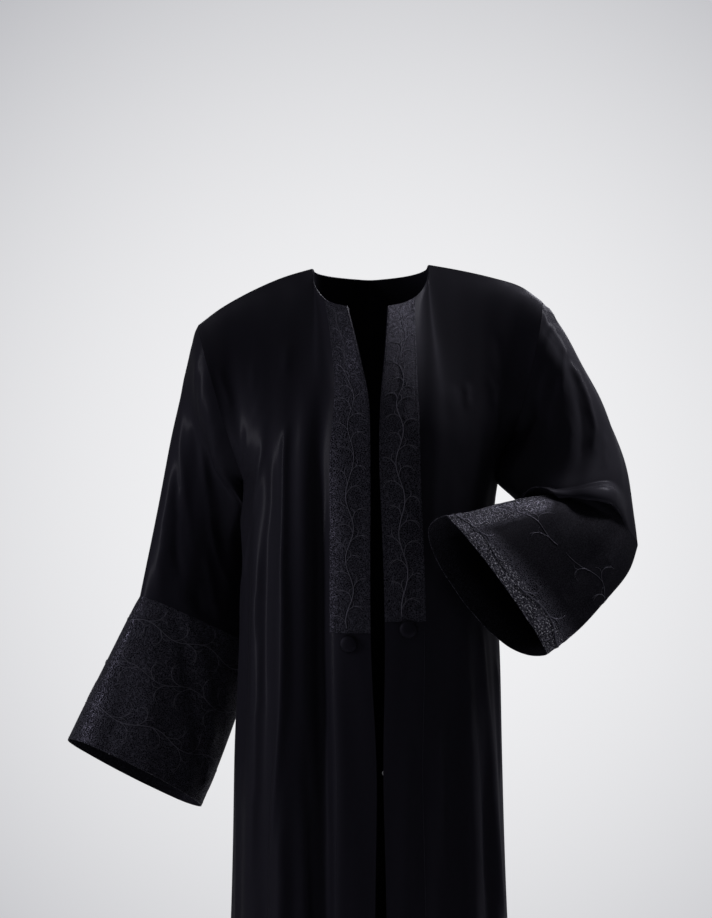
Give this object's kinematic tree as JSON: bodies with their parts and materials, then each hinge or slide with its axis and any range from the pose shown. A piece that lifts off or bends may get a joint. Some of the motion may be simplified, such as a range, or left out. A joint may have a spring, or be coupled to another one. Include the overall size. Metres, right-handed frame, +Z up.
{
  "type": "abaya cloak",
  "caption": "Black open-front abaya in its worn, hollow form: long crepe body, deep flared jacquard cuffs, jacquard front bands with vine cords, covered buttons.",
  "frame": {"origin": "the base of the wearer's neck, midway between the shoulders, where the garment is held up", "axes": "+Z up, -Y the way the wearer faces, +X to the wearer's left"},
  "size_m": [0.7332, 0.3975, 1.426],
  "materials": {
    "crepe": "plain black crepe with a soft satin sheen",
    "jacquard": "glossy black jacquard with a fine crackle ground and corded vines",
    "button_cloth": "black crepe pulled over a round button mould",
    "steel": "small bright press stud"
  },
  "bodies": {
    "root": {"back": "crepe", "front_right": "crepe", "front_left": "crepe", "sleeve_right": "crepe", "sleeve_left": "crepe", "cuff_right": "jacquard", "cuff_left": "jacquard", "band_right": "jacquard", "band_left": "jacquard", "button_right": "button_cloth", "button_left": "button_cloth", "press_stud": "steel"}
  },
  "joints": []
}
